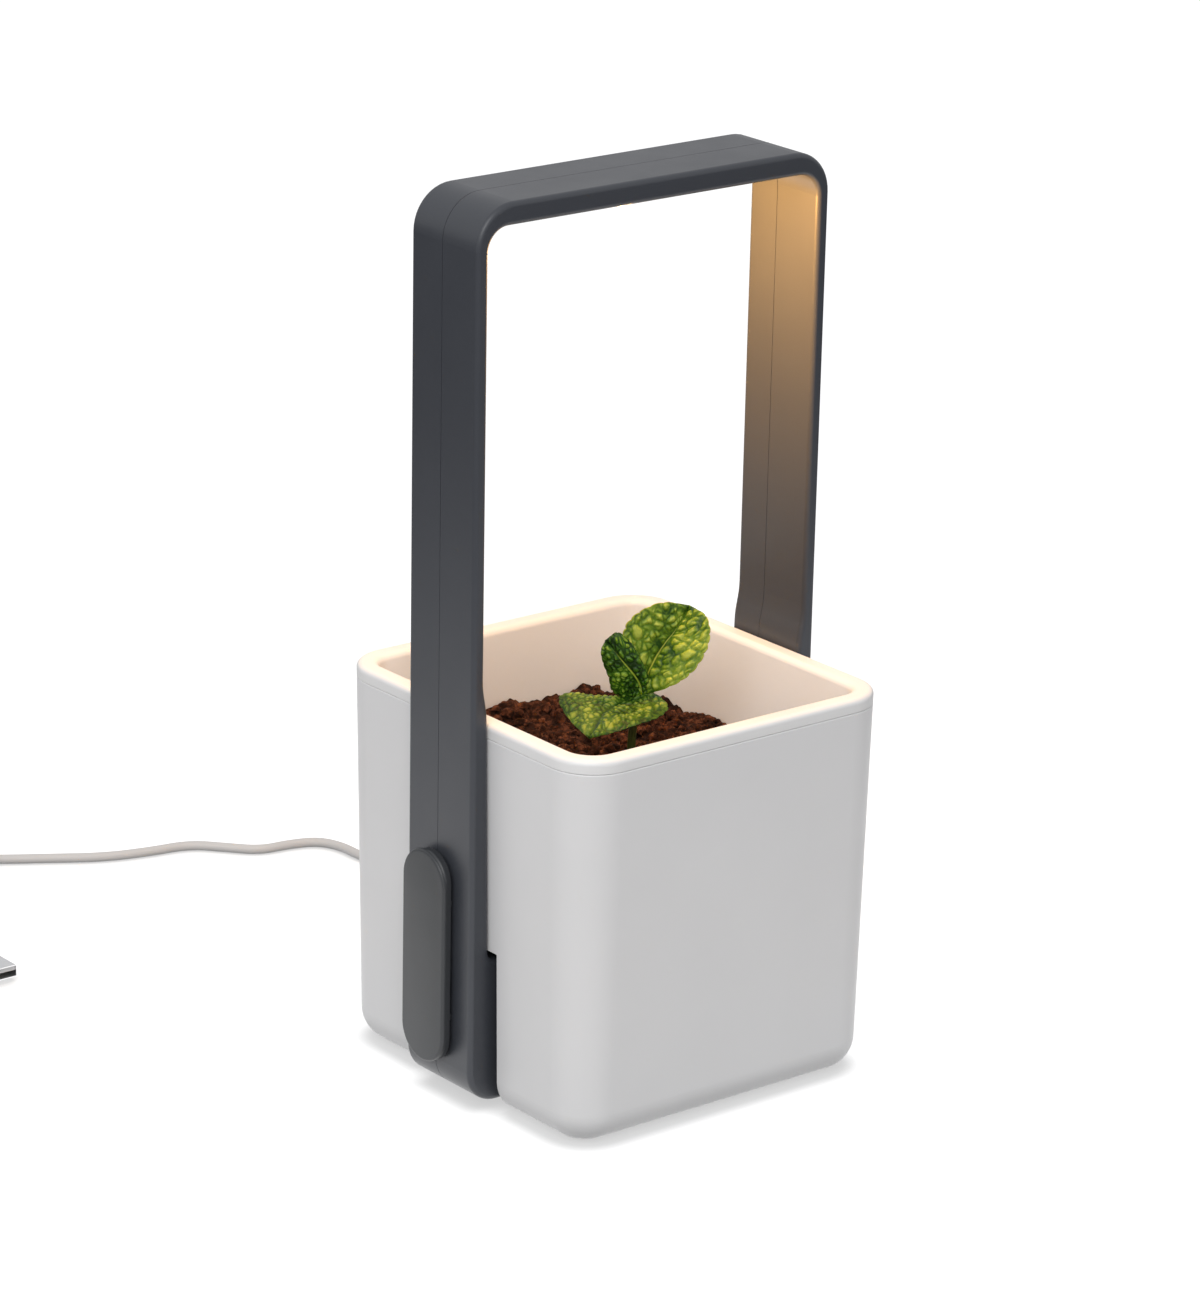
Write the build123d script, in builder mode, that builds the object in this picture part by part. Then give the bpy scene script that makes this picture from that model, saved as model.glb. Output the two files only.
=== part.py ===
from build123d import *
import os
from math import asin, atan, cos, degrees, pi, radians, sin, tan

os.makedirs("parts", exist_ok=True)

# Desktop planter with a lamp. A tapered white pot stands over the base bar of a closed-loop
# frame. The frame is the carrying handle and holds the lamp, its button and its electronics.
# Millimetres. +X along the bars of the loop, +Y to the back, +Z up. The origin is on the table,
# under the middle of the loop.

# ---------------------------------------------------------------- driving dimensions

# outer pot
pot_half_x = 65.0        # half width at the top edge
pot_half_y = 66.2        # half depth at the top edge
pot_height = 130.2
pot_draft = 1.1          # degrees that each side leans out
pot_corner = 16.0        # upright corner radius at the top edge
pot_base_round = 11.5    # rounding between the sides and the underside
pot_wall = 2.4
pot_lip_round = 0.5      # small rounding on the outside of the top edge

# planter, the inner pot whose rim covers the outer pot's edge
rim_seam = 0.25          # seam between the rim and the outer pot
rim_height = 4.6
rim_width = 7.25
rim_outer_round = 2.0
rim_inner_round = 2.3
lip_depth = 4.5          # locating lip under the rim
slip = 0.3               # clearance between pieces that slide past each other
planter_depth = 71.0     # from the top of the rim to the inside of the floor
planter_wall = 2.0
planter_draft = 2.0
planter_base_round = 6.0

# loop frame
loop_depth = 35.0        # front to back
loop_half_width = 71.3   # to the outside of a leg, at the table
loop_lean = 0.17         # degrees that each leg leans out
loop_height = 307.0
loop_wall = 1.4
loop_face_wall = 1.6     # front and back faces
loop_top_round = 14.5
loop_base_round = 11.5
loop_edge = 1.7          # rounding along all the loop's edges
loop_seam = 0.2          # gap between the two shells at their seam
seam_y = 0.85            # where the shells meet on the outside of the loop
seam_step = 2.5          # how much further back they meet on the inside of the loop
top_bar = 7.65           # thickness of the top bar
inner_round = 8.0        # inside corner under the top bar
arm = 4.6                # thickness of the legs above the pot
step_above_rim = 4.4     # where a leg begins to thin out, above the rim
step_height = 8.0
step_round = 30.0
foot_height = 3.1        # rubber feet under the base bar
base_bar = 9.9           # thickness of the base bar
housing_top = 53.0       # thick foot of each leg, which holds the electronics
housing_inner_x = 50.0
housing_round = 3.5
shoulder_round = 3.5
base_inner_round = 1.0
slot_gap = 3.6           # gap between the housings and the pot's side slots
pocket_gap = 1.3         # gap between a housing and the wall behind it in the pot

# button on the left leg
button_length = 73.8
button_width = 19.7
button_thickness = 2.65
button_stand_off = 1.5   # gap behind the button
button_travel = 1.0
button_y = 1.3
button_z = 51.8
button_edge = 1.0
post_radius = 1.5
post_pitch_y = 14.0
post_pitch_z = 40.0
post_slip = 0.2
post_head = 0.55         # how far a post's snap head stands out round the post
pusher_radius = 2.0
pusher_z = 40.0

# electronics
board_x = 62.0           # outer face of the control board, from the middle
board_thickness = 1.2
board_low = 18.0
board_high = 48.0
switch_side = 6.0
switch_height = 3.4
plunger_radius = 1.65
plunger_length = 2.3
plunger_bore = 2.0
plunger_rest = 0.1       # left under the plunger when the button is pressed home
plunger_slip = 0.25
rib = 1.6
rib_reach = 3.0
lamp_rib_y = 6.0         # from the middle of the top bar to a rib over the lamp board
wire_diameter = 1.2
wire_y = 4.8             # the leads run this far behind the middle of the loop
supply_diameter = 2.4

# lamp in the top bar
lamp_count = 3
lamp_pitch = 37.0
window_radius = 7.0
lens_plate = 0.8
lens_margin = 2.0        # how far the lens reaches past a window
led_clearance = 0.8      # between the LEDs and the lens
led_height = 0.7
led_length = 3.5
led_width = 2.8
lamp_board_thickness = 1.2

# screws, feet
screw_radius = 1.2
screw_slip = 0.1
screw_head_radius = 2.4
screw_head_height = 1.5
screw_engagement = 8.0   # thread in the front shell
screw_recess = 0.3       # how far the head lies under the back face
screw_x = 55.6
screw_low = 20.0
screw_high = 44.0
boss_wall = 1.3
foot_radius = 5.0
foot_x = 46.0
foot_y = 9.5
foot_round = 0.8

# soil, wicks and plant
soil_edge = 101.0        # height of the soil at the planter's walls
soil_mound = 5.0         # how much higher the soil stands in the middle
soil_gap = 0.3           # between the soil and the planter
wick_radius = 3.5
wick_y = 38.0
wick_top = 84.0
wick_foot = 0.6          # gap between a wick and the floor of the reservoir
wick_slip = 0.25
stem_x = 4.7
stem_y = -3.8
stem_radius = 1.7
stem_top = 126.5
root_depth = 14.0        # how far the stem goes down into the soil
leaf_thickness = 0.9

# lead, its strain relief and its plug
cord_diameter = 3.5
exit_x = 66.9
exit_z = 18.0
relief_length = 20.0
relief_base_radius = 2.8
relief_tip_radius = 2.15
relief_neck_radius = 2.4
relief_flange_radius = 2.9
relief_flange = 1.5
relief_slip = 0.2
coil_turn_radius = 19.25  # to the middle of the turns
coil_layers = 3           # turns beside each other and on each other
coil_edge = 1.2           # rounding of the coil's bundle
tie_width = 9.0
tie_thickness = 0.9
tie_proud = 0.25          # how far the tie stands out of the bundle that it pinches
tie_angle = 300.0         # where the tie goes round the coil, degrees
grip_length = 25.0
grip_width = 15.5
grip_height = 8.0
grip_round = 2.5
grip_edge = 0.8
plug_length = 19.0
plug_width = 12.0
plug_height = 4.5
plug_wall = 0.4
tongue_height = 1.9

# ---------------------------------------------------------------- derived places

lean = tan(radians(loop_lean))
pot_slope = tan(radians(pot_draft))
half_depth = loop_depth / 2
lamp_z = loop_height - top_bar
bar_top = foot_height + base_bar
rim_low = pot_height + rim_seam
rim_top = rim_low + rim_height
step_low = rim_top + step_above_rim
step_high = step_low + step_height
slot_half = half_depth + slot_gap
slot_top = housing_top + slot_gap
tunnel_top = bar_top + 0.5


def leg_outer(z):
    return loop_half_width + z * lean


def pot_side_x(z):
    return pot_half_x - (pot_height - z) * pot_slope


def pot_side_y(z):
    return pot_half_y - (pot_height - z) * pot_slope


def leg_lower_inner(z):
    return pot_side_x(z) + slip


def leg_upper_inner(z):
    return leg_outer(z) - arm


# ---------------------------------------------------------------- loop frame: two hollow shells


def loop_outline(inset):
    """The loop's outside in front view, drawn a distance inside the real surface."""
    low = foot_height + inset
    high = loop_height - inset
    with BuildSketch() as outline:
        with BuildLine():
            FilletPolyline(
                (0, low),
                (leg_outer(0) - inset, low),
                (leg_outer(loop_height) - inset, high),
                (0, high),
                radius=[loop_base_round - inset, loop_top_round - inset],
            )
            mirror(about=Plane.YZ)
        make_face()
    return outline.sketch


def loop_opening(inset):
    """The opening inside the loop in front view, drawn a distance inside the material."""
    low = bar_top - inset
    high = lamp_z + inset
    shoulder = housing_top - inset
    with BuildSketch() as opening:
        with BuildLine():
            FilletPolyline(
                (0, low),
                (housing_inner_x + inset, low),
                (housing_inner_x + inset, shoulder),
                (leg_lower_inner(housing_top) + inset, shoulder),
                (leg_lower_inner(step_low) + inset, step_low),
                (leg_upper_inner(step_high) + inset, step_high),
                (leg_upper_inner(lamp_z) + inset, high),
                (0, high),
                radius=[
                    base_inner_round + inset,
                    housing_round - inset,
                    shoulder_round + inset,
                    step_round - inset,
                    step_round + inset,
                    inner_round + inset,
                ],
            )
            mirror(about=Plane.YZ)
        make_face()
    return opening.sketch


with BuildPart() as loop_solid:
    with BuildSketch(Plane.XZ):
        add(loop_outline(0))
        add(loop_opening(0), mode=Mode.SUBTRACT)
    extrude(amount=half_depth, both=True)
    fillet(loop_solid.edges().group_by(Axis.Y)[0], loop_edge)
    fillet(loop_solid.edges().group_by(Axis.Y)[-1], loop_edge)

with BuildPart() as loop_cavity:
    with BuildSketch(Plane.XZ):
        add(loop_outline(loop_wall))
        add(loop_opening(loop_wall), mode=Mode.SUBTRACT)
    extrude(amount=half_depth - loop_face_wall, both=True)


# The front shell takes all that lies before the seam, and on the inside of the loop a strip
# that reaches further back. The rear shell takes the rest.


def front_region(gap):
    with BuildPart() as region:
        with BuildSketch(Plane.XZ.offset(-seam_y - gap)):
            with Locations((0, loop_height / 2)):
                Rectangle(4 * loop_half_width, 2 * loop_height)
        extrude(amount=loop_depth)
        with BuildSketch(Plane.XZ.offset(-seam_y - seam_step - gap)):
            add(loop_opening(loop_wall + 0.5))
        extrude(amount=loop_depth)
    return region.part


boss_places = [(side * screw_x, z) for side in (-1, 1) for z in (screw_low, screw_high)]
screw_hole = screw_radius + screw_slip
front_boss_radius = screw_hole + boss_wall
head_recess_radius = screw_head_radius + screw_slip
rear_boss_radius = head_recess_radius + boss_wall
screw_seat_y = half_depth - screw_recess - screw_head_height
inner_face_y = half_depth - loop_face_wall

lens_low = lamp_z + loop_wall
lens_top = lens_low + lens_plate
led_low = lens_top + led_clearance
lamp_board_low = led_low + led_height
lamp_board_top = lamp_board_low + lamp_board_thickness
lens_length = (lamp_count - 1) * lamp_pitch + 2 * (window_radius + lens_margin)
lens_width = 2 * (window_radius + lens_margin)

button_back_x = leg_outer(button_z) + button_stand_off
button_face_x = button_back_x + button_thickness
post_hole = post_radius + post_slip

# every hole that crosses the seam is cut from both shells with the same tool
with BuildPart() as loop_holes:
    with BuildSketch(Plane.XY.offset(lamp_z - loop_wall)):
        with GridLocations(lamp_pitch, 1, lamp_count, 1):
            Circle(window_radius)
    extrude(amount=3 * loop_wall)
    with BuildSketch(Plane.YZ.offset(-button_back_x)):
        with Locations((button_y, button_z)):
            with GridLocations(post_pitch_y, post_pitch_z, 2, 2):
                Circle(post_hole)
        with Locations((button_y, pusher_z)):
            Circle(pusher_radius + post_slip)
    extrude(amount=button_stand_off + 2 * loop_wall)


def board_ribs(face):
    """Ribs that hold the control board from one face, -1 the front or 1 the back."""
    reach = rib_reach + loop_face_wall / 2
    middle_y = face * (half_depth - loop_face_wall / 2 - reach / 2)
    behind_x = -(board_x - board_thickness - slip / 2 - rib / 2)
    before_x = -(board_x + slip / 2 + rib / 2)
    with BuildPart() as ribs:
        with BuildSketch(Plane.XY.offset(board_low)):
            with Locations((behind_x, middle_y), (before_x, middle_y)):
                Rectangle(rib, reach)
        extrude(amount=board_high - board_low)
    return ribs.part


def lamp_ribs(middle_y):
    """Ribs under the top of the loop that keep the lamp board down."""
    low = lamp_board_top + slip / 2
    with BuildPart() as ribs:
        with BuildSketch(Plane.XY.offset(low)):
            with Locations((0, middle_y)):
                with GridLocations(lamp_pitch, 1, lamp_count - 1, 1):
                    Rectangle(rib, rib_reach)
        extrude(amount=loop_height - loop_wall / 2 - low)
    return ribs.part


with BuildPart() as front_shell:
    add(loop_solid.part)
    add(loop_cavity.part, mode=Mode.SUBTRACT)
    add(front_region(0), mode=Mode.INTERSECT)
    with BuildSketch(Plane.XZ.offset(-seam_y)):
        with Locations(*boss_places):
            Circle(front_boss_radius)
    extrude(amount=seam_y + half_depth - loop_face_wall / 2)
    with BuildSketch(Plane.XZ.offset(-seam_y)):
        with Locations(*boss_places):
            Circle(screw_hole)
    extrude(amount=screw_engagement + 1, mode=Mode.SUBTRACT)
    add(board_ribs(-1))
    add(lamp_ribs(-lamp_rib_y))
    add(loop_holes.part, mode=Mode.SUBTRACT)

with BuildPart() as rear_shell:
    add(loop_solid.part)
    add(loop_cavity.part, mode=Mode.SUBTRACT)
    add(front_region(loop_seam), mode=Mode.SUBTRACT)
    with BuildSketch(Plane.XZ.offset(-seam_y)):
        with Locations(*boss_places):
            Circle(rear_boss_radius)
    extrude(amount=-(half_depth - loop_face_wall / 2 - seam_y))
    with BuildSketch(Plane.XZ.offset(-screw_seat_y)):
        with Locations(*boss_places):
            Circle(head_recess_radius)
    extrude(amount=-loop_depth, mode=Mode.SUBTRACT)
    with BuildSketch(Plane.XZ):
        with Locations(*boss_places):
            Circle(screw_hole)
    extrude(amount=-loop_depth, mode=Mode.SUBTRACT)
    add(board_ribs(1))
    add(lamp_ribs(lamp_rib_y))
    with BuildSketch(Plane.XZ.offset(-(inner_face_y - 1))):
        with Locations((exit_x, exit_z)):
            Circle(relief_neck_radius + relief_slip)
    extrude(amount=-loop_depth, mode=Mode.SUBTRACT)
    add(loop_holes.part, mode=Mode.SUBTRACT)

# ---------------------------------------------------------------- screws and feet

with BuildPart() as shell_screws:
    with BuildSketch(Plane.XZ.offset(-(half_depth - screw_recess))):
        with Locations(*boss_places):
            Circle(screw_head_radius)
    extrude(amount=screw_head_height)
    with BuildSketch(Plane.XZ.offset(-screw_seat_y)):
        with Locations(*boss_places):
            Circle(screw_radius)
    extrude(amount=screw_seat_y - seam_y + screw_engagement)

with BuildPart() as rubber_feet:
    with BuildSketch():
        with GridLocations(2 * foot_x, 2 * foot_y, 2, 2):
            Circle(foot_radius)
    extrude(amount=foot_height)
    fillet(rubber_feet.edges().group_by(Axis.Z)[0], foot_round)

# ---------------------------------------------------------------- lamp

with BuildPart() as lamp_lens:
    with BuildSketch(Plane.XY.offset(lens_low)):
        Rectangle(lens_length, lens_width)
    extrude(amount=lens_plate)
    # two rails carry the lamp board
    with BuildSketch(Plane.XY.offset(lens_top)):
        with GridLocations(1, lens_width - rib, 1, 2):
            Rectangle(lens_length, rib)
    extrude(amount=lamp_board_low - lens_top)

with BuildPart() as lamp_board:
    with BuildSketch(Plane.XY.offset(lamp_board_low)):
        Rectangle(lens_length, lens_width)
    extrude(amount=lamp_board_thickness)

with BuildPart() as lamp_leds:
    with BuildSketch(Plane.XY.offset(led_low)):
        with GridLocations(lamp_pitch, 1, lamp_count, 1):
            RectangleRounded(led_length, led_width, 0.3)
    extrude(amount=led_height)

# ---------------------------------------------------------------- control board, switch and leads

board_half_y = inner_face_y - slip
switch_front_x = board_x + switch_height
plunger_tip_x = switch_front_x + plunger_length - (plunger_bore - button_travel - plunger_rest)

with BuildPart() as control_board:
    with BuildSketch(Plane.YZ.offset(-board_x)):
        with Locations((0, (board_low + board_high) / 2)):
            Rectangle(2 * board_half_y, board_high - board_low)
    extrude(amount=board_thickness)
    # driver chip, coil and capacitor
    with BuildSketch(Plane.YZ.offset(-board_x)):
        with Locations((8, board_low + 9)):
            Rectangle(5, 6)
    extrude(amount=-1.5)
    with BuildSketch(Plane.YZ.offset(-board_x)):
        with Locations((-8, board_low + 8)):
            Rectangle(6, 6)
        with Locations((-8, board_low + 18)):
            Circle(2.5)
    extrude(amount=-3)

with BuildPart() as switch_body:
    with BuildSketch(Plane.YZ.offset(-board_x)):
        with Locations((button_y, pusher_z)):
            RectangleRounded(switch_side, switch_side, 0.5)
    extrude(amount=-switch_height)
    with BuildSketch(Plane.YZ.offset(-switch_front_x)):
        with Locations((button_y, pusher_z)):
            Circle(plunger_radius + plunger_slip)
    extrude(amount=plunger_bore, mode=Mode.SUBTRACT)

with BuildPart() as switch_plunger:
    with BuildSketch(Plane.YZ.offset(-plunger_tip_x)):
        with Locations((button_y, pusher_z)):
            Circle(plunger_radius)
    extrude(amount=plunger_length)

lamp_wire_x = (leg_upper_inner(lamp_z) + leg_outer(lamp_z)) / 2
step_wire_x = (leg_upper_inner(step_high) + leg_outer(step_high)) / 2
lamp_wire_z = (lamp_board_low + lamp_board_top) / 2
housing_wire_x = leg_outer(housing_top) - loop_wall - wire_diameter
wire_start_z = board_low + 4

with BuildPart() as lamp_wire:
    with BuildLine() as lamp_wire_path:
        FilletPolyline(
            (-board_x, wire_y, wire_start_z),
            (-board_x - 4, wire_y, wire_start_z),
            (-housing_wire_x, wire_y, wire_start_z + 4),
            (-housing_wire_x, wire_y, housing_top + 4),
            (-step_wire_x, wire_y, step_high),
            (-lamp_wire_x, wire_y, lamp_wire_z),
            (-lens_length / 2, wire_y, lamp_wire_z),
            radius=[2, 4, 20, 60, loop_top_round - 3],
        )
    with BuildSketch(Plane(lamp_wire_path.line @ 0, z_dir=lamp_wire_path.line % 0)):
        Circle(wire_diameter / 2)
    sweep()

relief_inner_y = inner_face_y - relief_flange
supply_z = bar_top - loop_wall - 2 * supply_diameter

with BuildPart() as supply_wire:
    with BuildLine() as supply_path:
        FilletPolyline(
            (exit_x, relief_inner_y, exit_z),
            (exit_x, relief_inner_y - 7, exit_z),
            (exit_x - 6, wire_y, supply_z),
            (-board_x + board_thickness / 2, wire_y, supply_z),
            (-board_x + board_thickness / 2, wire_y, board_low),
            radius=[3, 4, 4],
        )
    with BuildSketch(Plane(supply_path.line @ 0, z_dir=supply_path.line % 0)):
        Circle(supply_diameter / 2)
    sweep()

# ---------------------------------------------------------------- button

post_head_x = leg_outer(button_z - post_pitch_z / 2) - loop_wall - slip
head_length = 1.2

with BuildPart() as power_button:
    with BuildSketch(Plane.YZ.offset(-button_face_x)):
        with Locations((button_y, button_z)):
            SlotOverall(button_length, button_width, rotation=90)
    extrude(amount=button_thickness)
    fillet(power_button.edges().group_by(Axis.X)[0], button_edge)
    with BuildSketch(Plane.YZ.offset(-button_back_x)):
        with Locations((button_y, button_z)):
            with GridLocations(post_pitch_y, post_pitch_z, 2, 2):
                Circle(post_radius)
    extrude(amount=button_back_x - post_head_x)
    # snap heads keep the posts in the shells
    with BuildSketch(Plane.YZ.offset(-post_head_x)):
        with Locations((button_y, button_z)):
            with GridLocations(post_pitch_y, post_pitch_z, 2, 2):
                Circle(post_radius + post_head)
    extrude(amount=head_length, taper=20)
    with BuildSketch(Plane.YZ.offset(-button_back_x)):
        with Locations((button_y, pusher_z)):
            Circle(pusher_radius)
    extrude(amount=button_back_x - plunger_tip_x)

# ---------------------------------------------------------------- outer pot

cavity_low = pot_wall
base_corner = pot_corner - pot_height * pot_slope

with BuildPart() as reservoir:
    with BuildSketch(Plane.XY.offset(cavity_low)):
        RectangleRounded(
            2 * (pot_side_x(cavity_low) - pot_wall),
            2 * (pot_side_y(cavity_low) - pot_wall),
            base_corner - pot_wall,
        )
    extrude(amount=pot_height, taper=-pot_draft)
    fillet(reservoir.edges().group_by(Axis.Z)[0], min(pot_base_round, base_corner) - pot_wall - 0.3)
    # the walls over the tunnel and round the two side pockets stand up into the water
    with BuildSketch():
        Rectangle(4 * pot_half_x, 2 * (slot_half + pot_wall))
    extrude(amount=tunnel_top + pot_wall, mode=Mode.SUBTRACT)
    with BuildSketch():
        with GridLocations(4 * pot_half_x, 1, 2, 1):
            Rectangle(
                2 * (2 * pot_half_x - housing_inner_x + pocket_gap + pot_wall),
                2 * (slot_half + pot_wall),
            )
    extrude(amount=slot_top + pot_wall, mode=Mode.SUBTRACT)

with BuildPart() as outer_pot:
    with BuildSketch():
        RectangleRounded(2 * pot_side_x(0), 2 * pot_side_y(0), base_corner)
    extrude(amount=pot_height, taper=-pot_draft)
    fillet(outer_pot.edges().group_by(Axis.Z)[0], pot_base_round)
    fillet(outer_pot.edges().group_by(Axis.Z)[-1], pot_lip_round)
    add(reservoir.part, mode=Mode.SUBTRACT)
    with BuildSketch():
        Rectangle(4 * pot_half_x, 2 * slot_half)
    extrude(amount=tunnel_top, mode=Mode.SUBTRACT)
    with BuildSketch():
        with GridLocations(4 * pot_half_x, 1, 2, 1):
            Rectangle(2 * (2 * pot_half_x - housing_inner_x + pocket_gap), 2 * slot_half)
    extrude(amount=slot_top, mode=Mode.SUBTRACT)

# ---------------------------------------------------------------- planter

planter_floor = rim_top - planter_depth
mouth_x = pot_half_x - rim_width
mouth_y = pot_half_y - rim_width
mouth_corner = pot_corner - rim_width

with BuildPart() as planter:
    with BuildSketch(Plane.XY.offset(rim_low)):
        RectangleRounded(2 * pot_half_x, 2 * pot_half_y, pot_corner)
    extrude(amount=rim_height, taper=-pot_draft)
    with BuildSketch(Plane.XY.offset(rim_low)):
        inset = pot_wall + slip
        RectangleRounded(2 * (pot_half_x - inset), 2 * (pot_half_y - inset), pot_corner - inset)
    extrude(amount=-lip_depth, taper=planter_draft)
    with BuildSketch(Plane.XY.offset(rim_low)):
        RectangleRounded(
            2 * (mouth_x + planter_wall),
            2 * (mouth_y + planter_wall),
            mouth_corner + planter_wall,
        )
    extrude(amount=-(rim_low - planter_floor + planter_wall), taper=planter_draft)
    fillet(planter.edges().group_by(Axis.Z)[0], planter_base_round)
    with BuildSketch(Plane.XY.offset(rim_top)):
        RectangleRounded(2 * mouth_x, 2 * mouth_y, mouth_corner)
    extrude(amount=-planter_depth, taper=planter_draft, mode=Mode.SUBTRACT)
    rim_face = planter.faces().sort_by(Axis.Z)[-1]
    fillet(rim_face.outer_wire().edges(), rim_outer_round)
    rim_face = planter.faces().sort_by(Axis.Z)[-1]
    fillet(rim_face.inner_wires()[0].edges(), rim_inner_round)
    with BuildSketch(Plane.XY.offset(planter_floor)):
        with GridLocations(1, 2 * wick_y, 1, 2):
            Circle(wick_radius + wick_slip)
    extrude(amount=-2 * planter_wall, mode=Mode.SUBTRACT)

# ---------------------------------------------------------------- wicks, soil and plant


def wick(y):
    with BuildPart() as strand:
        with BuildSketch(Plane.XY.offset(pot_wall + wick_foot)):
            with Locations((0, y)):
                Circle(wick_radius)
        extrude(amount=wick_top - pot_wall - wick_foot)
    return strand.part


with BuildPart() as wick_front:
    add(wick(-wick_y))

with BuildPart() as wick_rear:
    add(wick(wick_y))

soil_low = planter_floor + soil_gap
soil_peak = soil_edge + soil_mound
wall_slope = tan(radians(planter_draft))
soil_half_x = mouth_x - (rim_top - soil_edge) * wall_slope - soil_gap
soil_half_y = mouth_y - (rim_top - soil_edge) * wall_slope - soil_gap
soil_corner = mouth_corner - (rim_top - soil_edge) * wall_slope - soil_gap
dome_radius = (soil_half_x**2 + soil_mound**2) / (2 * soil_mound)

with BuildPart() as soil:
    with BuildSketch(Plane.XY.offset(soil_edge)):
        RectangleRounded(2 * soil_half_x, 2 * soil_half_y, soil_corner)
    extrude(amount=-(soil_edge - soil_low), taper=planter_draft)
    with BuildSketch(Plane.XY.offset(soil_edge)):
        RectangleRounded(2 * soil_half_x, 2 * soil_half_y, soil_corner)
    extrude(amount=soil_mound)
    with Locations((0, 0, soil_peak - dome_radius)):
        Sphere(dome_radius, rotation=(90, 0, 0), mode=Mode.INTERSECT)
    with BuildSketch(Plane.XY.offset(soil_low)):
        with GridLocations(1, 2 * wick_y, 1, 2):
            Circle(wick_radius + wick_slip)
    extrude(amount=wick_top + soil_gap - soil_low, mode=Mode.SUBTRACT)
    with BuildSketch(Plane.XY.offset(soil_peak)):
        with Locations((stem_x, stem_y)):
            Circle(stem_radius)
    extrude(amount=-root_depth, mode=Mode.SUBTRACT)


def leaf(base, tip, width, facing):
    """A flat leaf from its foot to its tip, with its upper side turned to facing."""
    foot = Vector(*base)
    along = Vector(*tip) - foot
    length = along.length
    face = Vector(*facing)
    face = face - along * (face.dot(along) / length**2)
    with BuildPart() as blade:
        with BuildSketch(Plane(foot, x_dir=along, z_dir=face)):
            with BuildLine():
                ThreePointArc((0, 0), (0.42 * length, width / 2), (length, 0))
                mirror(about=Plane.XZ)
            make_face()
        extrude(amount=leaf_thickness / 2, both=True)
    return blade.part


with BuildPart() as seedling:
    with BuildSketch(Plane.XY.offset(soil_peak - root_depth)):
        with Locations((stem_x, stem_y)):
            Circle(stem_radius)
    extrude(amount=stem_top - soil_peak + root_depth)
    add(leaf((4.7, -3.8, 126.0), (23.5, -18.9, 158.5), 25, (-0.63, -0.78, 0.1)))
    add(leaf((5.0, -4.2, 126.0), (-2.8, 0.6, 150.0), 17, (-0.5, -0.8, 0.3)))
    add(leaf((6.0, -4.0, 125.8), (-22.0, -14.0, 122.5), 33, (0, 0, 1)))

# ---------------------------------------------------------------- lead, strain relief and plug

relief_end_y = half_depth + relief_length

with BuildPart() as cord_relief:
    with BuildSketch(Plane.XZ.offset(-relief_inner_y)):
        with Locations((exit_x, exit_z)):
            Circle(relief_flange_radius)
    extrude(amount=-relief_flange)
    with BuildSketch(Plane.XZ.offset(-inner_face_y)):
        with Locations((exit_x, exit_z)):
            Circle(relief_neck_radius)
    extrude(amount=-(half_depth - inner_face_y))
    with BuildSketch(Plane.XZ.offset(-half_depth)):
        with Locations((exit_x, exit_z)):
            Circle(relief_base_radius)
    extrude(
        amount=-relief_length,
        taper=degrees(atan((relief_base_radius - relief_tip_radius) / relief_length)),
    )

cord_radius = cord_diameter / 2
coil_height = coil_layers * cord_diameter
coil_outer = coil_turn_radius + coil_height / 2
coil_inner = coil_turn_radius - coil_height / 2
outer_turn = coil_outer - cord_radius


def route_turn(a, b, c):
    """Turn in degrees at b, and the radius of the arc there."""
    before = Vector(*b) - Vector(*a)
    after = Vector(*c) - Vector(*b)
    turn = before.get_angle(after)
    shorter = min(before.length, after.length)
    return turn, 0.45 * shorter / tan(radians(turn / 2))


def cord_tube(name, route):
    turns = [route_turn(*three) for three in zip(route, route[1:], route[2:])]
    with BuildPart() as tube:
        with BuildLine() as path:
            FilletPolyline(*route, radius=[radius for _, radius in turns])
        with BuildSketch(Plane(path.line @ 0, z_dir=path.line % 0)):
            Circle(cord_radius)
        sweep()
    length = sum(edge.length for edge in path.edges())
    print(name, "length", round(length, 1), "volume / section", end=" ")
    print(round(tube.part.volume / (pi * cord_radius**2), 1), end=" ")
    print("turns and radii", [(round(turn), round(radius, 1)) for turn, radius in turns])
    return tube.part


floor_z = cord_radius
cord_route = [
    (exit_x, relief_end_y, exit_z),
    (66.9, 54.0, exit_z),
    (66.6, 71.0, 12.6),
    (66.2, 88.0, 4.8),
    (64.5, 107.0, floor_z),
    (60.5, 129.0, floor_z),
    (53.0, 151.0, floor_z),
    (43.5, 173.0, floor_z),
    (37.0, 191.5, floor_z),
    (37.4, 205.0, floor_z),
    (33.2, 214.5, floor_z),
    (22.5, 218.3, floor_z),
    (10.5, 219.3, floor_z),
    (2.5, 228.0, floor_z),
    (-7.5, 239.4, floor_z),
    (-24.0, 241.8, floor_z),
    (-41.0, 246.8, floor_z),
    (-57.0, 257.0, floor_z),
    (-74.0, 267.5, floor_z),
    (-87.0, 277.5, floor_z),
    (-104.5, 285.0, floor_z),
]

with BuildPart() as power_cord:
    add(cord_tube("power_cord", cord_route))

# the lead runs into the coil's outer turn, and leaves it again from the top turn at its far side
arrive = (Vector(*cord_route[-1]) - Vector(*cord_route[-2])).normalized()
coil_x = cord_route[-1][0] - arrive.Y * outer_turn
coil_y = cord_route[-1][1] + arrive.X * outer_turn
tail_x = coil_x - outer_turn
tail_z = coil_height - cord_radius
grip_z = grip_height / 2
tail_route = [
    (tail_x, coil_y, tail_z),
    (tail_x, coil_y - 13.0, tail_z),
    (tail_x + 0.3, coil_y - 27.5, 4.9),
    (tail_x + 1.2, coil_y - 41.0, 3.0),
    (tail_x + 1.5, coil_y - 52.5, grip_z),
]

with BuildPart() as cord_tail:
    add(cord_tube("cord_tail", tail_route))

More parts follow.
